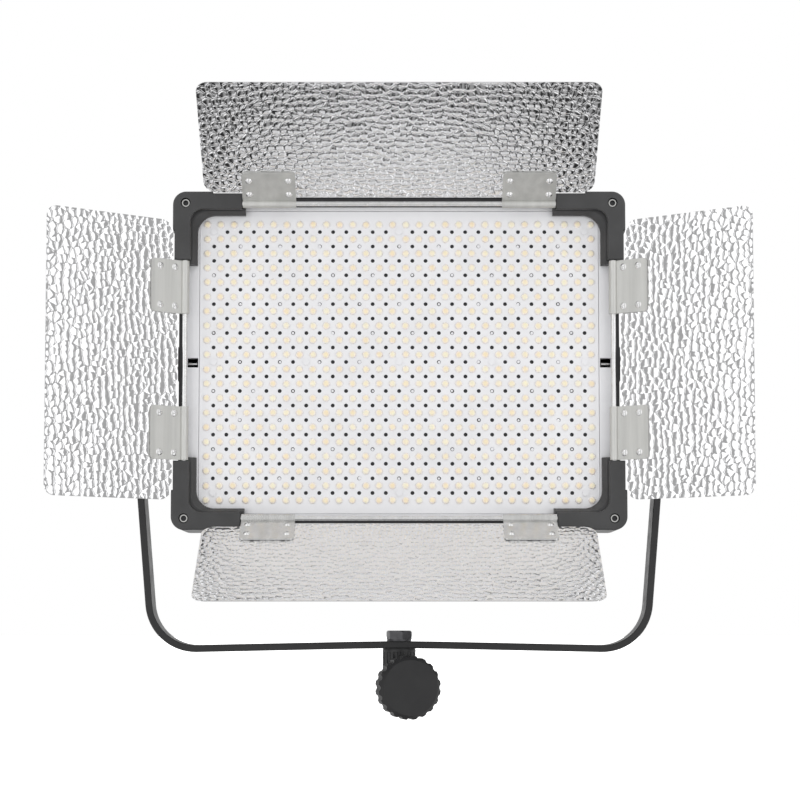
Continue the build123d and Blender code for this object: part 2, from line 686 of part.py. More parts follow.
def battery_release(side):
    """Latch tab that is pressed in to free the battery."""
    u, v = side * BATTERY[0], BATTERY[1]
    tab = block((u - 5.8, v - 36.6, BACK_FACE - 6.5), (u + 5.8, v - 29.2, BACK_FACE - 2.6))
    tab = chamfer(tab.faces().sort_by(Axis.Z)[0].edges(), 0.8)
    stem = rod(2.0, (u, v + RELEASE_V, BACK_FACE - 3), 6.8)
    return tab + stem + rod(3.0, (u, v + RELEASE_V, BACK_FACE + COVER_WALL + 0.1), 1.3)


def dial(side):
    """Fluted dial on its encoder shaft."""
    knob = fluted_knob(DIAL_R, 18, 9.0, 7.0, 1.5, 2.0, 0.5)
    knob = knob + rod(3.0, (0, 0, -10.3), 11.5)
    place = Pos(side * DIALS[0], DIALS[1], BACK_FACE - 0.5) * Rot(180, 0, 0)
    return place * knob


def push_button(side):
    u, v = side * BUTTONS[0], BUTTONS[1]
    cap = rod(BUTTON_R, (u, v, BACK_FACE - 2.2), 5.0)
    flange = rod(BUTTON_R + 1.1, (u, v, BACK_FACE + COVER_WALL + 0.1), 0.9)
    return cap + flange + rod(1.6, (u, v, BACK_FACE + 2.0), 3.0)


def power_switch():
    """Rocker on a pivot through the switch's frame."""
    u, v = SWITCH
    profile = Polyline((-8, 4.5), (8, 4.5), (8, -3.6), (0, -2.2), (-8, -3.6), close=True)
    side_on = Plane(origin=(u, v, BACK_FACE + SWITCH_PIVOT), x_dir=(0, 1, 0), z_dir=(1, 0, 0))
    rocker = side_on * Rot(0, 0, SWITCH_TILT) * extrude(make_face(profile), 5.2, both=True)
    return rocker + rod(1.5, (u - 6.0, v, BACK_FACE + SWITCH_PIVOT), 12.0, "X")


def switch_frame():
    """Bezel of the rocker, clipped in the cover."""
    u, v = SWITCH
    flange = Rectangle(18, 24) - Rectangle(11.6, 17.8)
    collar = Rectangle(12.9, 18.9) - Rectangle(11.6, 17.8)
    frame = plate(Pos(u, v) * flange, BACK_FACE - 1.2, BACK_FACE - 0.02)
    frame += plate(Pos(u, v) * collar, BACK_FACE - 1.0, BACK_FACE + 7.0)
    return frame - rod(1.5 + RUNNING, (u - 7, v, BACK_FACE + SWITCH_PIVOT), 14, "X")


def dc_inlet():
    """Barrel inlet with its centre pin, let into the cover."""
    u, v = INLET
    body = rod(7.5, (u, v, BACK_FACE - 1.5), 1.48) + rod(5.5, (u, v, BACK_FACE - 1.5), 14)
    body -= rod(2.75, (u, v, BACK_FACE - 2), 11)
    return body + rod(1.0, (u, v, BACK_FACE - 1.0), 11)


nodes["back_cover"] = on_panel(back_cover())
nodes["cover_screws"] = cover_screws()
nodes["display_window"] = on_panel(display_window())
nodes["control_board"] = on_panel(control_board())
nodes["driver_board"] = on_panel(driver_board())
nodes["board_spacers"] = board_spacers()
nodes["battery_contacts"] = battery_contacts()
nodes["switch_frame"] = on_panel(switch_frame())
nodes["power_switch"] = on_panel(power_switch())
nodes["dc_inlet"] = on_panel(dc_inlet())
for name, side in SIDES.items():
    nodes[f"battery_plate_{name}"] = on_panel(battery_plate(side))
    nodes[f"battery_release_{name}"] = on_panel(battery_release(side))
    nodes[f"dial_{name}"] = on_panel(dial(side))
    nodes[f"push_button_{name}"] = on_panel(push_button(side))


# ---- write ------------------------------------------------------------------------------------

os.makedirs("parts", exist_ok=True)
for name, shape in nodes.items():
    export_step(shape, f"parts/{name}.step")
print(len(nodes), "nodes")
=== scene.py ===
"""Looks of the LED panel light: finishes for the CAD parts, and modelled pieces for the hammered
barn doors, the LED board, its domes, the posts in its holes and the housing's black lip. Metres, in
the CAD frame: +Z up, the light shines towards -Y, the stand socket's mouth at the origin.
"""

import json
from math import cos, pi, radians, sin

import bpy
import numpy as np
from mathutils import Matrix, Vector


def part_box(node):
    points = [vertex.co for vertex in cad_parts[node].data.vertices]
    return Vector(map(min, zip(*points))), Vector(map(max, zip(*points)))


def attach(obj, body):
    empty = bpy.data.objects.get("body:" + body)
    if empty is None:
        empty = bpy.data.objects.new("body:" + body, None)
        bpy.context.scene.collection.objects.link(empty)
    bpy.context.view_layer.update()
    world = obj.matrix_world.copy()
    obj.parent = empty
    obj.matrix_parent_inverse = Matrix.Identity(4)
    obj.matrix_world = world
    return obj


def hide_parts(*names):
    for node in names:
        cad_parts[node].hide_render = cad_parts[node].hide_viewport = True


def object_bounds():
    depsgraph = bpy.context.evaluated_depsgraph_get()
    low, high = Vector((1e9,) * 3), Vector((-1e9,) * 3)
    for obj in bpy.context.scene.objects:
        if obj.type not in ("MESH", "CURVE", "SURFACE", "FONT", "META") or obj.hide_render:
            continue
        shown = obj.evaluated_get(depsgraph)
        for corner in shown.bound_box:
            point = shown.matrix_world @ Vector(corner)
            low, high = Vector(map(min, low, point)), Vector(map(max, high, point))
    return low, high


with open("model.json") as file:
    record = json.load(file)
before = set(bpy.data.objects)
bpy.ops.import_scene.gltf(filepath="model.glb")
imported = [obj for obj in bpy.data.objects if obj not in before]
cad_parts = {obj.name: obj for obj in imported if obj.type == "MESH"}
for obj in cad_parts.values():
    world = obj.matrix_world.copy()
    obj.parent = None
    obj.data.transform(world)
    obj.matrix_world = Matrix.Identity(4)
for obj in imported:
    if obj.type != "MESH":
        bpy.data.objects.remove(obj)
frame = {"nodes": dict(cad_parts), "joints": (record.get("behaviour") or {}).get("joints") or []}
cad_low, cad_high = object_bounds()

MM = 0.001

# ---- driving values ---------------------------------------------------------------------------

LED_COLUMNS, LED_ROWS = 30, 20
PITCH_U, PITCH_V = 10 * MM, 11 * MM
HOLE_R, HOLE_SEGMENTS = 1.5 * MM, 20

# share of the radius and share of the height, from the board up to just short of the tip
DOME_PROFILE = [(1.0, 0.0), (1.0, 0.28), (0.95, 0.5), (0.82, 0.72), (0.6, 0.88), (0.3, 0.97)]
DOME_R, DOME_HEIGHT, DOME_SEGMENTS = 2.72 * MM, 1.5 * MM, 20
DOME_STRAY, DOME_LIFT = 0.09 * MM, 0.02 * MM  # off its place, and off the board's face

POST_R, POST_STRAY, POST_SEGMENTS = 1.3 * MM, 0.2 * MM, 14
POST_NEAR, POST_FAR = 0.5 * MM, 1.4 * MM  # the solder posts' ends, behind the board's face

SHEET_THICK, SHEET_TRIANGLES = 0.62 * MM, 185_000
SKIN = 0.02 * MM  # the sheet stays this far inside the CAD sheet's faces
GRID_STEP = 0.55 * MM
FLAT_EDGE, EDGE_DEPTH = 1.2 * MM, 0.16 * MM  # the marks fade out along the outline
OUTER_CORNER_R, INNER_CORNER_R = 8 * MM, 10 * MM
SHOULDER_NEARER = 2.0 * MM  # from the CAD sheet's shoulder towards the rod, up to the guards

PEBBLE, PEBBLE_ROWS = 5.7 * MM, 0.93  # spacing of the hammer marks, and of their rows as a share
PEBBLE_JITTER = 0.4  # of the spacing, each way
GROOVE_DEPTH, GROOVE_WIDTH = 0.25 * MM, 1.3 * MM
GROOVE_BLEND = 0.4 * MM  # rounds the pebbles' corners
CROWN = 0.06 * MM
PEBBLE_LEAN, MOST_LEAN = 0.02, 0.12 * MM  # the slope of a pebble's top, and how far it may reach
SHEET_BOW = 0.035  # more lean towards the hinge near it and away from it further out

SCREW_HEAD_R, SCREW_RING = 3.3 * MM, (2.1 * MM, 2.8 * MM)
LIP_HALF, LIP_HEIGHT, LIP_DEPTH = 113 * MM, 2.2 * MM, 4 * MM

FLOOR_HALF, FLOOR_GAP = 8.0, 4 * MM
LAMP_PLACE, LAMP_SIZE, LAMP_POWER = (0.0, -0.6, 2.4), (2.0, 1.4), 2.0

CAMERA_AWAY, CAMERA_BELOW = 1.551, 0.1941  # in front of the pivot, and under the board's centre
CAMERA_TILT = 3.903  # degrees above the horizon
CAMERA_LENS, SENSOR = 92.3, 36.0
CAMERA_SHIFT = (0.0011, 0.1)

# studio light: level by degrees round from the camera's side, and by height from -1 to 1
SKY_PEAK = 1.3
SKY_ROUND = [
    (0, 0.75), (15, 0.75), (20, 1.3), (60, 1.3), (63, 0.4), (75, 0.4), (82, 1.1), (112, 1.1),
    (130, 0.85), (180, 0.85),
]
SKY_HEIGHT = [(-0.955, 0.03), (-0.9, 0.8), (-0.5, 1.0), (0.7, 1.0), (1.0, 0.6)]
CARD_LEVEL, CARD_HALF, CARD_HEIGHT = 0.28, (0.06, 0.1), (0.9, 0.955)  # grey, under the light

rng = np.random.default_rng(7)


# ---- node-tree helpers ------------------------------------------------------------------------


class Nodes:
    """Adds nodes and links to one node tree."""

    def __init__(self, tree):
        self.tree = tree

    def node(self, kind, **settings):
        made = self.tree.nodes.new(kind)
        for key, value in settings.items():
            setattr(made, key, value)
        return made

    def link(self, source, target):
        self.tree.links.new(source, target)

    def math(self, operation, first, second=None):
        made = self.node("ShaderNodeMath", operation=operation)
        for socket, value in zip(made.inputs, (first, second)):
            if value is None:
                continue
            if isinstance(value, (int, float)):
                socket.default_value = value
            else:
                self.link(value, socket)
        return made.outputs["Value"]


class Surface(Nodes):
    """A node material that is built up step by step round one Principled shader."""

    def __init__(self, name, color, roughness, metallic=0.0):
        self.material = bpy.data.materials.new(name)
        self.material.use_nodes = True
        super().__init__(self.material.node_tree)
        self.shader = self.tree.nodes["Principled BSDF"]
        self.set("Base Color", (*color, 1.0))
        self.set("Roughness", roughness)
        self.set("Metallic", metallic)
        self.place = self.node("ShaderNodeTexCoord").outputs["Object"]

    def set(self, socket, value):
        self.shader.inputs[socket].default_value = value

    def stretched(self, scale):
        """The object's own coordinates, scaled along each axis."""
        mapping = self.node("ShaderNodeMapping")
        mapping.inputs["Scale"].default_value = scale
        self.link(self.place, mapping.inputs["Vector"])
        return mapping.outputs["Vector"]

    def noise(self, scale, detail=3.0, stretch=None, roughness=0.5):
        texture = self.node("ShaderNodeTexNoise")
        texture.inputs["Scale"].default_value = scale
        texture.inputs["Detail"].default_value = detail
        texture.inputs["Roughness"].default_value = roughness
        self.link(self.stretched(stretch) if stretch else self.place, texture.inputs["Vector"])
        return texture.outputs["Fac"]

    def cells(self, scale, output="Distance"):
        texture = self.node("ShaderNodeTexVoronoi")
        texture.inputs["Scale"].default_value = scale
        self.link(self.place, texture.inputs["Vector"])
        return texture.outputs[output]

    def attribute(self, name):
        return self.node("ShaderNodeAttribute", attribute_name=name).outputs["Fac"]

    def span(self, value, low, high, to_low=0.0, to_high=1.0):
        """A value remapped from one range to another, clamped."""
        remap = self.node("ShaderNodeMapRange")
        numbers = {"From Min": low, "From Max": high, "To Min": to_low, "To Max": to_high}
        for socket, number in numbers.items():
            remap.inputs[socket].default_value = number
        self.link(value, remap.inputs["Value"])
        return remap.outputs["Result"]

    def blend(self, factor, first, second):
        """A colour between two others, each given as numbers or as a socket."""
        mix = self.node("ShaderNodeMix", data_type="RGBA")
        self.link(factor, mix.inputs["Factor"])
        for socket, value in ((mix.inputs[6], first), (mix.inputs[7], second)):
            if isinstance(value, tuple):
                socket.default_value = (*value, 1.0)
            else:
                self.link(value, socket)
        return mix.outputs[2]

    def paint(self, color):
        self.link(color, self.shader.inputs["Base Color"])

    def gloss(self, roughness):
        self.link(roughness, self.shader.inputs["Roughness"])

    def relief(self, height, strength, distance):
        """Bump from a height; a second call adds to the first."""
        bump = self.node("ShaderNodeBump")
        bump.inputs["Strength"].default_value = strength
        bump.inputs["Distance"].default_value = distance
        self.link(height, bump.inputs["Height"])
        earlier = self.shader.inputs["Normal"].links
        if earlier:
            self.link(earlier[0].from_socket, bump.inputs["Normal"])
        self.link(bump.outputs["Normal"], self.shader.inputs["Normal"])


def shade(color, factor):
    return tuple(min(1.0, c * factor) for c in color)


# ---- finishes ---------------------------------------------------------------------------------


def moulded(name, color, roughness, grain=2600.0):
    """Moulded plastic: spark-eroded grain, faint flow marks and rubbed patches."""
    s = Surface(name, color, roughness)
    s.set("Specular IOR Level", 0.45)
    mottle = s.noise(38.0, 4.0)
    s.paint(s.blend(s.span(mottle, 0.35, 0.65), shade(color, 0.86), shade(color, 1.12)))
    patches = s.noise(70.0, 5.0, roughness=0.6)
    s.gloss(s.span(patches, 0.3, 0.7, roughness - 0.06, roughness + 0.07))
    s.relief(s.noise(grain, 2.0), 0.35, 0.04 * MM)
    return s.material


def coated(name, color, roughness):
    """Powder coat: orange peel, a little dust and slight wear of the gloss."""
    s = Surface(name, color, roughness)
    dust = s.noise(24.0, 6.0, roughness=0.65)
    s.paint(s.blend(s.span(dust, 0.4, 0.75), shade(color, 0.9), shade(color, 1.35)))
    s.gloss(s.span(s.noise(120.0, 4.0), 0.3, 0.7, roughness - 0.07, roughness + 0.07))
    s.relief(s.noise(900.0, 2.0), 0.25, 0.05 * MM)
    s.relief(s.cells(2400.0), 0.12, 0.03 * MM)
    return s.material


def brushed(name, color, roughness, along):
    """Brushed metal: hairlines along one axis, which vary the gloss and the tone."""
    s = Surface(name, color, roughness, metallic=1.0)
    stretch = tuple(0.03 if axis == along else 1.0 for axis in range(3))
    lines = s.noise(2600.0, 2.0, stretch)
    broad = s.noise(150.0, 4.0, stretch)
    smudge = s.noise(45.0, 5.0)
    s.paint(s.blend(s.span(broad, 0.3, 0.7), shade(color, 0.88), shade(color, 1.06)))
    tone = s.math("ADD", s.span(lines, 0.3, 0.7, 0.0, 0.12), s.span(smudge, 0.35, 0.7, 0.0, 0.1))
    s.gloss(s.math("ADD", tone, roughness - 0.08))
    s.relief(lines, 0.22, 0.02 * MM)
    return s.material


def turned(name, color, roughness):
    """Machined or plated metal with faint tool marks and finger smudges."""
    s = Surface(name, color, roughness, metallic=1.0)
    smudge = s.noise(160.0, 5.0, roughness=0.6)
    s.paint(s.blend(s.span(smudge, 0.35, 0.7), shade(color, 0.9), shade(color, 1.04)))
    s.gloss(s.span(s.noise(300.0, 4.0), 0.3, 0.7, roughness - 0.05, roughness + 0.1))
    s.relief(s.noise(3500.0, 2.0, (1.0, 1.0, 0.08)), 0.12, 0.01 * MM)
    return s.material


def painted_highlight_ring(name, dark, bright):
    """Blackened guard screws, with a bright ring round the socket that is a painted highlight."""
    low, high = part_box("guard_screws")
    middle = (low.z + high.z) / 2
    s = Surface(name, dark, 0.35, metallic=1.0)
    axes = s.node("ShaderNodeSeparateXYZ")
    s.link(s.place, axes.inputs["Vector"])
    x, z = axes.outputs["X"], s.math("SUBTRACT", axes.outputs["Z"], middle)
    off_u = s.math("SUBTRACT", s.math("ABSOLUTE", x), high.x - SCREW_HEAD_R)
    off_v = s.math("SUBTRACT", s.math("ABSOLUTE", z), high.z - middle - SCREW_HEAD_R)
    squares = s.math("ADD", s.math("MULTIPLY", off_u, off_u), s.math("MULTIPLY", off_v, off_v))
    from_axis = s.math("SQRT", squares)
    inner, outer = SCREW_RING
    soft = 0.12 * MM
    past_inner = s.span(from_axis, inner - soft, inner + soft)
    short_of_outer = s.span(from_axis, outer - soft, outer + soft, 1.0, 0.0)
    # the bright ring between the two radii is a painted highlight on each screw head
    s.paint(s.blend(s.math("MULTIPLY", past_inner, short_of_outer), dark, bright))
    s.gloss(s.span(s.noise(300.0, 4.0), 0.3, 0.7, 0.25, 0.45))
    return s.material


def hammered(name, color):
    """Bright rolled sheet: the pebbles are modelled, and this adds rolling marks and haze."""
    s = Surface(name, color, 0.08, metallic=1.0)
    haze = s.noise(60.0, 5.0, roughness=0.6)
    grain = s.noise(2200.0, 2.0, (1.0, 1.0, 0.15))
    s.paint(s.blend(s.span(haze, 0.35, 0.7), shade(color, 0.95), color))
    s.gloss(s.span(haze, 0.3, 0.7, 0.05, 0.12))
    s.relief(grain, 0.1, 0.01 * MM)
    return s.material


def enamel(name, color):
    """White solder mask: slightly cool, with a soft print grain and faint grey smears."""
    s = Surface(name, color, 0.42)
    smear = s.noise(30.0, 6.0, roughness=0.6)
    s.paint(s.blend(s.span(smear, 0.35, 0.75), color, shade(color, 0.93)))
    s.gloss(s.span(s.noise(400.0, 3.0), 0.3, 0.7, 0.36, 0.5))
    s.relief(s.noise(1800.0, 2.0), 0.15, 0.02 * MM)
    return s.material


def phosphor(name):
    """LED domes: clear rim over a cream centre; every second one is the warmer colour."""
    s = Surface(name, (0.9, 0.82, 0.62), 0.28)
    tone, rim = s.attribute("tone"), s.attribute("rim")
    centre = s.blend(tone, (0.98, 0.91, 0.68), (0.98, 0.82, 0.54))
    edge = s.blend(tone, (0.92, 0.87, 0.80), (0.92, 0.83, 0.76))
    speckle = s.span(s.noise(2500.0, 3.0), 0.3, 0.7, 0.0, 0.3)
    s.paint(s.blend(s.math("ADD", s.span(rim, 0.55, 0.8), speckle), centre, edge))
    s.set("Subsurface Weight", 0.12)
    s.set("Subsurface Radius", (1.0 * MM, 0.8 * MM, 0.5 * MM))
    s.set("Coat Weight", 0.4)
    s.set("Coat Roughness", 0.12)
    s.relief(s.noise(900.0, 2.0), 0.1, 0.03 * MM)
    return s.material


def solder_mask(name):
    """Green circuit board with lighter copper runs under the mask."""
    s = Surface(name, (0.03, 0.16, 0.07), 0.35)
    runs = s.span(s.cells(160.0, output="Color"), 0.45, 0.55)
    s.paint(s.blend(runs, (0.02, 0.11, 0.05), (0.04, 0.2, 0.09)))
    s.relief(runs, 0.2, 0.03 * MM)
    return s.material


def window(name):
    """Smoked glossy window with faint wipe marks."""
    s = Surface(name, (0.012, 0.014, 0.015), 0.08)
    s.set("Coat Weight", 0.6)
    wipe = s.noise(90.0, 5.0, (1.0, 1.0, 0.2))
    s.gloss(s.span(wipe, 0.35, 0.75, 0.05, 0.16))
    s.paint(s.blend(s.span(wipe, 0.3, 0.8), (0.010, 0.012, 0.013), (0.02, 0.022, 0.024)))
    return s.material


# by slot: the function that makes the finish, and what it is given after the slot's name
FINISHES = {
    "bare_aluminium": (brushed, (0.72, 0.72, 0.73), 0.36, 0),
    "black_aluminium": (coated, (0.022, 0.022, 0.024), 0.42),
    "black_paint": (coated, (0.016, 0.016, 0.017), 0.4),
    "black_plastic": (moulded, (0.022, 0.022, 0.023), 0.5),
    "brass": (turned, (0.78, 0.56, 0.26), 0.28),
    "bright_steel": (turned, (0.82, 0.82, 0.82), 0.18),
    "circuit_board": (solder_mask,),
    "dark_steel": (turned, (0.10, 0.10, 0.105), 0.34),
    "display_glass": (window,),
    "guard_plastic": (moulded, (0.05, 0.05, 0.051), 0.4),
    "hammered_aluminium": (hammered, (0.93, 0.93, 0.94)),
    "hinge_steel": (brushed, (0.66, 0.66, 0.64), 0.5, 2),
    "knob_plastic": (moulded, (0.014, 0.014, 0.015), 0.52, 1800.0),
    "led_phosphor": (phosphor,),
    "nylon": (moulded, (0.74, 0.72, 0.66), 0.45),
    "switch_plastic": (moulded, (0.012, 0.012, 0.012), 0.22),
    "white_enamel": (enamel, (0.87, 0.87, 0.89)),
}


def dress_cad_nodes():
    """Gives every CAD node the finish of its slot, and returns the finishes by slot. The guards'
    screws have a painted highlight ring, and the lower door's plates are smoother than the others."""
    made = {slot: maker(slot, *values) for slot, (maker, *values) in FINISHES.items()}
    nodes = frame["nodes"]
    for node in nodes.values():
        for index, material in enumerate(node.data.materials):
            node.data.materials[index] = made[material.name.split(".")[0]]
    # each guard screw gets a bright ring that is a painted highlight
    screw = painted_highlight_ring("ringed_steel", (0.05, 0.05, 0.052), (0.62, 0.62, 0.6))
    nodes["guard_screws"].data.materials[0] = screw
    smooth_plate = brushed("polished_plate", (0.7, 0.7, 0.69), 0.2, along=2)
    nodes["hinge_plates_bottom"].data.materials[0] = smooth_plate
    return made


# ---- mesh helpers -----------------------------------------------------------------------------


def add_mesh(name, points, faces, body, material, smooth=True, sharp_angle=None):
    """A mesh piece that rides on a body and takes its finish from a slot."""
    mesh = bpy.data.meshes.new(name)
    mesh.from_pydata([tuple(p) for p in points], [], faces)
    mesh.update()
    mesh.polygons.foreach_set("use_smooth", [smooth] * len(mesh.polygons))
    if sharp_angle is not None:
        mesh.set_sharp_from_angle(angle=radians(sharp_angle))
    mesh.materials.append(material)
    piece = bpy.data.objects.new(name, mesh)
    bpy.context.scene.collection.objects.link(piece)
    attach(piece, body)
    return piece


def thin_out(piece, triangles):
    """Collapses edges where the surface is flattest, until so many triangles are left."""
    count = sum(len(face.vertices) - 2 for face in piece.data.polygons)
    modifier = piece.modifiers.new("thin", "DECIMATE")
    modifier.ratio = min(1.0, triangles / count)
    shaped = piece.evaluated_get(bpy.context.evaluated_depsgraph_get())
    thinner = bpy.data.meshes.new_from_object(shaped)
    piece.modifiers.clear()
    piece.data = thinner


def circle(segments, start=0.0):
    """Unit points of a circle, anticlockwise from a start angle."""
    angles = [start + 2 * pi * k / segments for k in range(segments)]
    return [(cos(angle), sin(angle)) for angle in angles]


def band(low, high, segments):
    """The faces between two rings of points, given the index of each ring's first point."""
    for k in range(segments):
        m = (k + 1) % segments
        yield low + k, low + m, high + m, high + k


def panel_point(u, v, n):
    """A point of the LED board's own frame: u right, v up, n forward from its face."""
    return np.stack([u + board_centre.x, board_face - n, v + board_centre.z], axis=-1)


board_low, board_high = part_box("led_board")
board_centre = (board_low + board_high) / 2
board_face = board_low.y


# ---- hammered barn doors ----------------------------------------------------------------------


def box_distance(x, y, half_x, half_y, corner):
    """Signed distance to a rectangle with round corners."""
    dx, dy = np.abs(x) - half_x + corner, np.abs(y) - half_y + corner
    beyond = np.hypot(np.maximum(dx, 0), np.maximum(dy, 0))
    return beyond + np.minimum(np.maximum(dx, dy), 0) - corner


class Leaf:
    """One barn door's own frame, read off its CAD sheet: u away from the hinge, a along it and
    w out of the lit side. The sheet's outline is a wide part with round corners and a tab."""

    def __init__(self, name):
        joint = next(j for j in frame["joints"] if j["name"] == f"leaf_{name}_fold")
        points = np.array([v.co for v in frame["nodes"][f"leaf_{name}"].data.vertices], float)
        self.hinge = np.array(joint["pos_m"])
        self.along = np.abs(np.array(joint["axis"]))
        spread = points - points.mean(0)
        normal = np.linalg.svd(spread, full_matrices=False)[2][2]
        self.normal = normal if normal[1] < 0 else -normal
        self.out = np.cross(self.along, self.normal)
        if (points.mean(0) - self.hinge) @ self.out < 0:
            self.out = -self.out
        local = points - self.hinge
        u, a, w = local @ self.out, local @ self.along, local @ self.normal
        self.start, self.end, self.half = u.min(), u.max(), a.max()
        self.tab = a[u < self.start + MM].max()
        straight_side = u[a > self.half - 0.02 * MM]
        self.shoulder = straight_side.min() - INNER_CORNER_R - SHOULDER_NEARER
        self.front, self.back = w.max(), w.min()

    def world(self, u, a, w):
        outer = np.multiply.outer
        return self.hinge + outer(u, self.out) + outer(a, self.along) + outer(w, self.normal)

    def outside(self, u, a):
        """Signed distance to the outline, negative inside."""
        middle, reach = (self.shoulder + self.end) / 2, (self.end - self.shoulder) / 2
        corner = np.where(u > middle, OUTER_CORNER_R, INNER_CORNER_R)
        wide = box_distance(u - middle, a, reach, self.half, corner)
        tab_middle = (self.start + self.shoulder + INNER_CORNER_R) / 2
        tab_reach = tab_middle - self.start
        return np.minimum(wide, box_distance(u - tab_middle, a, tab_reach, self.tab, 0.0))

    def grid(self):
        """A net of points over the sheet: u, a, the distance to the outline, and which are kept.
        The points next to the outline are moved onto it."""
        count_u = round((self.end - self.start) / GRID_STEP) + 1
        count_a = round(2 * self.half / GRID_STEP) + 1
        steps_u = np.linspace(self.start, self.end, count_u)
        steps_a = np.linspace(-self.half, self.half, count_a)
        u, a = np.meshgrid(steps_u, steps_a, indexing="ij")
        reach = self.outside(u, a)
        kept = reach < 0.5 * GRID_STEP
        edge = kept & (reach > -0.5 * GRID_STEP)
        tick = 0.05 * MM
        slope_u = (self.outside(u + tick, a) - self.outside(u - tick, a)) / (2 * tick)
        slope_a = (self.outside(u, a + tick) - self.outside(u, a - tick)) / (2 * tick)
        u = np.where(edge, u - reach * slope_u, u)
        a = np.where(edge, a - reach * slope_a, a)
        return u, a, reach, kept


def pebble_relief(u, a):
    """Depth below the highest pebble: near-flat cushions on a jittered lattice, each leaning a
    little its own way, with rounded grooves between them."""
    pitch_u, pitch_a = PEBBLE * PEBBLE_ROWS, PEBBLE
    rows = int((u.max() - u.min()) / pitch_u) + 6
    columns = int((a.max() - a.min()) / pitch_a) + 6
    row, column = np.meshgrid(np.arange(rows), np.arange(columns), indexing="ij")
    jitter_u = rng.uniform(-PEBBLE_JITTER, PEBBLE_JITTER, row.shape)
    jitter_a = rng.uniform(-PEBBLE_JITTER, PEBBLE_JITTER, row.shape)
    seed_u = u.min() + (row - 2.5 + jitter_u) * pitch_u
    seed_a = a.min() + (column - 2.5 + 0.5 * (row % 2) + jitter_a) * pitch_a
    tilt_u, tilt_a = rng.normal(0, PEBBLE_LEAN, (2, *row.shape))
    middle, reach = (u.min() + u.max()) / 2, (u.max() - u.min()) / 2
    tilt_u = tilt_u + SHEET_BOW * (seed_u - middle) / reach

    near_row = np.clip(np.round((u - u.min()) / pitch_u + 2.5).astype(int), 2, rows - 3)
    near_column = np.clip(np.round((a - a.min()) / pitch_a + 2.5).astype(int), 2, columns - 3)
    around = [(near_row + i, near_column + j) for i in range(-2, 3) for j in range(-2, 3)]
    first, lean = np.full(u.shape, np.inf), np.zeros(u.shape)
    own_u, own_a = np.zeros(u.shape), np.zeros(u.shape)
    for seed in around:
        du, da = u - seed_u[seed], a - seed_a[seed]
        distance = np.hypot(du, da)
        nearer = distance < first
        first = np.where(nearer, distance, first)
        lean = np.where(nearer, du * tilt_u[seed] + da * tilt_a[seed], lean)
        own_u = np.where(nearer, seed_u[seed], own_u)
        own_a = np.where(nearer, seed_a[seed], own_a)

    crowding = np.zeros(u.shape)
    for seed in around:
        apart = np.hypot(seed_u[seed] - own_u, seed_a[seed] - own_a)
        squared = (u - seed_u[seed]) ** 2 + (a - seed_a[seed]) ** 2
        to_border = (squared - first**2) / (2 * np.maximum(apart, 0.3 * PEBBLE))
        crowding += np.where(apart > 0, np.exp(-to_border / GROOVE_BLEND), 0.0)
    to_groove = np.maximum(-GROOVE_BLEND * np.log(crowding), 0)
    groove = GROOVE_DEPTH * np.clip(1 - to_groove / GROOVE_WIDTH, 0, 1) ** 2
    crown = CROWN * np.minimum(first / (0.5 * PEBBLE), 1.5) ** 2
    return groove + crown + np.clip(lean, -MOST_LEAN, MOST_LEAN) + MOST_LEAN


def hammered_leaf(name, material):
    """The door's sheet, embossed all over, so that its back shows the same pebbles sunk."""
    leaf = Leaf(name)
    u, a, reach, kept = leaf.grid()
    inside = np.clip(-reach / FLAT_EDGE, 0, 1)
    depth = EDGE_DEPTH + inside * (pebble_relief(u, a) - EDGE_DEPTH)
    deepest = leaf.front - leaf.back - SHEET_THICK - 2 * SKIN
    front = leaf.front - SKIN - np.minimum(depth, deepest)

    cell = kept[:-1, :-1] & kept[1:, :-1] & kept[1:, 1:] & kept[:-1, 1:]
    used = np.zeros(kept.shape, bool)
    for i, j in ((0, 0), (1, 0), (1, 1), (0, 1)):
        used[i : i + cell.shape[0], j : j + cell.shape[1]] |= cell
    index = np.full(kept.shape, -1)
    index[used] = np.arange(used.sum())
    corners = np.stack(
        [index[:-1, :-1], index[1:, :-1], index[1:, 1:], index[:-1, 1:]], axis=-1
    )[cell]
    top = leaf.world(u[used], a[used], front[used])
    under = leaf.world(u[used], a[used], front[used] - SHEET_THICK)
    count = len(top)
    if np.cross(leaf.out, leaf.along) @ leaf.normal < 0:
        corners = corners[:, ::-1]
    forward = np.stack([corners, np.roll(corners, -1, axis=1)], axis=-1).reshape(-1, 2)
    taken = {(int(i), int(j)) for i, j in forward}
    rim = sorted((i, j) for i, j in taken if (j, i) not in taken)
    faces = [tuple(int(k) for k in f) for f in corners]
    faces += [tuple(int(k) + count for k in f[::-1]) for f in corners]
    faces += [(j, i, i + count, j + count) for i, j in rim]
    piece = add_mesh(
        f"sheet_{name}", np.vstack([top, under]), faces, f"leaf_{name}",
        material,
    )
    thin_out(piece, SHEET_TRIANGLES)
    piece.data.set_sharp_from_angle(angle=radians(60))
    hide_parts(f"leaf_{name}")
    return piece


# ---- LED board --------------------------------------------------------------------------------


def around_hole(square, ring):
    """The faces of one square of the board: the square itself, or four round the ring in it."""
    if not ring:
        return [tuple(square)]
    quarter = HOLE_SEGMENTS // 4
    faces = []
    for side in range(4):
        arc = [ring[(side * quarter + k) % HOLE_SEGMENTS] for k in range(quarter + 1)]
        faces.append((square[side], square[(side + 1) % 4], *reversed(arc)))
    return faces


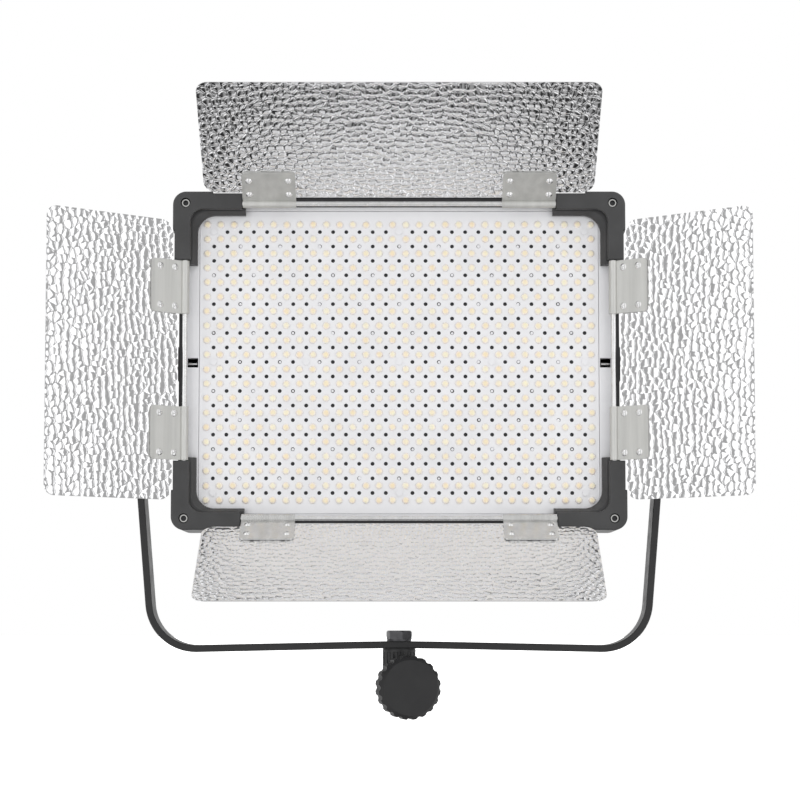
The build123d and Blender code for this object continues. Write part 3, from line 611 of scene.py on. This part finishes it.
def holed_board(material):
    """The white board, with a round hole between each four LEDs."""
    half = (board_high - board_low) / 2
    between_u = [(i - LED_COLUMNS / 2 + 0.5) * PITCH_U for i in range(LED_COLUMNS)]
    between_v = [(j - LED_ROWS / 2 + 0.5) * PITCH_V for j in range(LED_ROWS)]
    lines_u = [-half.x, *between_u, half.x]
    lines_v = [-half.z, *between_v, half.z]
    last_u, last_v = len(lines_u) - 1, len(lines_v) - 1
    front, back = 0.0, -2 * half.y
    points, faces, grid = [], [], {}

    def add(u, v, n):
        points.append((u, v, n))
        return len(points) - 1

    for n in (front, back):
        for i, u in enumerate(lines_u):
            for j, v in enumerate(lines_v):
                grid[i, j, n] = add(u, v, n)
    unit_ring = circle(HOLE_SEGMENTS, pi / HOLE_SEGMENTS - 0.75 * pi)
    for i in range(last_u):
        for j in range(last_v):
            holed = 0 < i < last_u - 1 and 0 < j < last_v - 1
            middle_u = (lines_u[i] + lines_u[i + 1]) / 2
            middle_v = (lines_v[j] + lines_v[j + 1]) / 2
            outline = unit_ring if holed else []
            rings = []
            for n in (front, back):
                square = [grid[i + x, j + y, n] for x, y in ((0, 0), (1, 0), (1, 1), (0, 1))]
                ring = [add(middle_u + HOLE_R * x, middle_v + HOLE_R * y, n) for x, y in outline]
                made = around_hole(square, ring)
                faces += made if n == front else [face[::-1] for face in made]
                rings.append(ring)
            if holed:
                faces += band(rings[0][0], rings[1][0], HOLE_SEGMENTS)
    border = [(i, 0) for i in range(last_u)] + [(last_u, j) for j in range(last_v)]
    border += [(i, last_v) for i in range(last_u, 0, -1)] + [(0, j) for j in range(last_v, 0, -1)]
    for here, after in zip(border, border[1:] + border[:1]):
        corners = ((after, front), (here, front), (here, back), (after, back))
        faces.append(tuple(grid[(*corner, n)] for corner, n in corners))
    u, v, n = np.array(points).T
    piece = add_mesh(
        "board_with_holes", panel_point(u, v, n), faces, "panel", material,
        smooth=False,
    )
    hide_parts("led_board")
    return piece


def led_domes(material):
    """All 600 domes as one mesh: a short wall, a round shoulder and a low crown."""
    unit_ring = circle(DOME_SEGMENTS)
    points, faces, tones, rims = [], [], [], []
    places = [(i, j) for j in range(LED_ROWS) for i in range(LED_COLUMNS)]
    for i, j in places:
        base = len(points)
        u = (i - (LED_COLUMNS - 1) / 2) * PITCH_U + rng.normal(0, DOME_STRAY)
        v = (j - (LED_ROWS - 1) / 2) * PITCH_V + rng.normal(0, DOME_STRAY)
        size = DOME_R * rng.uniform(0.97, 1.02)
        tone = 0.25 + 0.5 * ((i + j) % 2) + rng.uniform(-0.22, 0.22)
        for share, rise in DOME_PROFILE:
            for x, y in unit_ring:
                points.append((u + size * share * x, v + size * share * y, rise * DOME_HEIGHT))
                rims.append(share)
        points.append((u, v, DOME_HEIGHT))
        rims.append(0.0)
        starts = [base + ring * DOME_SEGMENTS for ring in range(len(DOME_PROFILE))]
        tip = len(points) - 1
        tones += [tone] * (len(points) - base)
        for low, high in zip(starts, starts[1:]):
            faces += band(low, high, DOME_SEGMENTS)
        last = starts[-1]
        faces += [(last + k, last + (k + 1) % DOME_SEGMENTS, tip) for k in range(DOME_SEGMENTS)]
        faces.append(tuple(base + k for k in reversed(range(DOME_SEGMENTS))))
    u, v, n = np.array(points).T
    piece = add_mesh(
        "led_domes", panel_point(u, v, n + DOME_LIFT), faces, "panel", material,
        sharp_angle=70,
    )
    for name, values in (("tone", tones), ("rim", rims)):
        attribute = piece.data.attributes.new(name, "FLOAT", "POINT")
        attribute.data.foreach_set("value", np.array(values, np.float32))
    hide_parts("leds")
    return piece


def solder_posts(material):
    """White-coated posts that fill part of every third hole in every second row."""
    unit_ring = circle(POST_SEGMENTS)
    levels = [(1.0, -POST_FAR), (1.0, -POST_NEAR), (0.7, -0.8 * POST_NEAR)]
    points, faces = [], []
    for j in range(2, LED_ROWS - 1, 2):
        for i in range(2 if j % 4 else 0, LED_COLUMNS - 1, 3):
            u = (i - LED_COLUMNS / 2 + 1) * PITCH_U + rng.uniform(-POST_STRAY, POST_STRAY)
            v = (LED_ROWS / 2 - j) * PITCH_V + rng.uniform(-POST_STRAY, POST_STRAY)
            radius = POST_R * rng.uniform(0.6, 1.0)
            starts = [len(points) + level * POST_SEGMENTS for level in range(len(levels))]
            for share, n in levels:
                size = share * radius
                points += [(u + size * x, v + size * y, n) for x, y in unit_ring]
            for low, high in zip(starts, starts[1:]):
                faces += band(low, high, POST_SEGMENTS)
            faces.append(tuple(starts[0] + k for k in reversed(range(POST_SEGMENTS))))
            faces.append(tuple(starts[-1] + k for k in range(POST_SEGMENTS)))
    u, v, n = np.array(points).T
    return add_mesh(
        "solder_posts", panel_point(u, v, n), faces, "panel", material,
        sharp_angle=40,
    )


def rail_lip(material):
    """A slim black lip along the top of the housing, between the guards, with a round front."""
    low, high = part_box("housing_frame")
    radius = LIP_HEIGHT / 2
    angles = [radians(step) for step in np.linspace(90, -90, 9)]
    profile = [(-LIP_DEPTH, radius)]
    profile += [(radius * cos(angle), radius * sin(angle)) for angle in angles]
    profile.append((-LIP_DEPTH, -radius))
    points = [
        (x, low.y + radius - forward, high.z + radius + up)
        for x in (-LIP_HALF, LIP_HALF)
        for forward, up in profile
    ]
    count = len(profile)
    faces = list(band(0, count, count))
    faces += [tuple(reversed(range(count))), tuple(range(count, 2 * count))]
    return add_mesh(
        "rail_lip", points, faces, "panel", material, sharp_angle=50
    )


# ---- stage ------------------------------------------------------------------------------------


def add_floor():
    """A pale floor under the lowest point, bright enough to run into the backdrop."""
    half, level = FLOOR_HALF, cad_low.z - FLOOR_GAP
    mesh = bpy.data.meshes.new("floor")
    square = ((-half, -half), (half, -half), (half, half), (-half, half))
    mesh.from_pydata([(x, y, level) for x, y in square], [], [(0, 1, 2, 3)])
    s = Surface("floor_white", (0.9, 0.9, 0.9), 0.9)
    s.set("Specular IOR Level", 0.0)
    s.set("Emission Color", (1.0, 1.0, 1.0, 1.0))
    s.set("Emission Strength", 1.0)
    mesh.materials.append(s.material)
    floor = bpy.data.objects.new("floor", mesh)
    bpy.context.scene.collection.objects.link(floor)
    floor.visible_glossy = floor.visible_diffuse = False


class Studio(Nodes):
    """The world's node tree."""

    def __init__(self):
        world = bpy.data.worlds.new("studio")
        bpy.context.scene.world = world
        world.use_nodes = True
        super().__init__(world.node_tree)
        self.tree.nodes.clear()

    def stepped(self, value, stops):
        """Straight runs between (place from 0 to 1, level from 0 to 1) stops."""
        ramp = self.node("ShaderNodeValToRGB")
        stripes = ramp.color_ramp.elements
        while len(stripes) < len(stops):
            stripes.new(0.5)
        for stripe, (place, level) in zip(stripes, stops):
            stripe.position = place
            stripe.color = (level, level, level, 1.0)
        self.link(value, ramp.inputs["Fac"])
        return ramp.outputs["Color"]


def add_world():
    """White to the eye; as light, bright bands on each side, with a grey gap and a grey card."""
    s = Studio()
    direction = s.node("ShaderNodeSeparateXYZ")
    s.link(s.node("ShaderNodeTexCoord").outputs["Generated"], direction.inputs["Vector"])
    x, y, z = direction.outputs
    aside = s.math("ABSOLUTE", x)
    turn = s.math("ARCTAN2", aside, s.math("MULTIPLY", y, -1.0))
    height = s.math("ADD", s.math("MULTIPLY", z, 0.5), 0.5)
    by_turn = [(degrees_off / 180, level / SKY_PEAK) for degrees_off, level in SKY_ROUND]
    by_height = [((up + 1) / 2, level) for up, level in SKY_HEIGHT]
    round_about = s.stepped(s.math("DIVIDE", turn, pi), by_turn)
    up_down = s.stepped(height, by_height)
    sky = s.math("MULTIPLY", s.math("MULTIPLY", round_about, up_down), SKY_PEAK)
    near = s.stepped(aside, [(CARD_HALF[0], CARD_LEVEL), (CARD_HALF[1], 0.0)])
    deep = s.stepped(s.math("MULTIPLY", z, -1.0), [(CARD_HEIGHT[0], 0.0), (CARD_HEIGHT[1], 1.0)])
    light = s.math("ADD", sky, s.math("MULTIPLY", near, deep))

    mix = s.node("ShaderNodeMix", data_type="FLOAT")
    s.link(s.node("ShaderNodeLightPath").outputs["Is Camera Ray"], mix.inputs["Factor"])
    s.link(light, mix.inputs[2])
    mix.inputs[3].default_value = 1.0
    background = s.node("ShaderNodeBackground")
    background.inputs["Color"].default_value = (1.0, 1.0, 1.0, 1.0)
    s.link(mix.outputs[0], background.inputs["Strength"])
    output = s.node("ShaderNodeOutputWorld")
    s.link(background.outputs["Background"], output.inputs["Surface"])


def add_overhead_lamp():
    """One large soft lamp above and in front, which faces the panel."""
    lamp = bpy.data.lights.new("overhead", "AREA")
    lamp.shape = "RECTANGLE"
    lamp.size, lamp.size_y = LAMP_SIZE
    lamp.energy = LAMP_POWER
    box = bpy.data.objects.new("overhead", lamp)
    box.location = LAMP_PLACE
    facing = Vector((0.0, 0.0, board_centre.z)) - Vector(LAMP_PLACE)
    box.rotation_euler = facing.to_track_quat("-Z", "Y").to_euler()
    box.visible_camera = False
    bpy.context.scene.collection.objects.link(box)


def add_camera():
    lens = bpy.data.cameras.new("camera")
    lens.lens, lens.sensor_width = CAMERA_LENS, SENSOR
    lens.shift_x, lens.shift_y = CAMERA_SHIFT
    lens.dof.use_dof = False
    camera = bpy.data.objects.new("camera", lens)
    camera.location = (0.0, -CAMERA_AWAY, board_centre.z - CAMERA_BELOW)
    camera.rotation_euler = (radians(90.0 + CAMERA_TILT), 0.0, 0.0)
    bpy.context.scene.collection.objects.link(camera)
    bpy.context.scene.camera = camera


# ---- build ------------------------------------------------------------------------------------

bpy.context.scene.view_settings.view_transform = "Standard"
add_camera()
add_world()
add_overhead_lamp()
add_floor()
finish = dress_cad_nodes()
for leaf_name in ("left", "right", "top", "bottom"):
    hammered_leaf(leaf_name, finish["hammered_aluminium"])
holed_board(finish["white_enamel"])
led_domes(finish["led_phosphor"])
solder_posts(finish["white_enamel"])
rail_lip(finish["black_aluminium"])
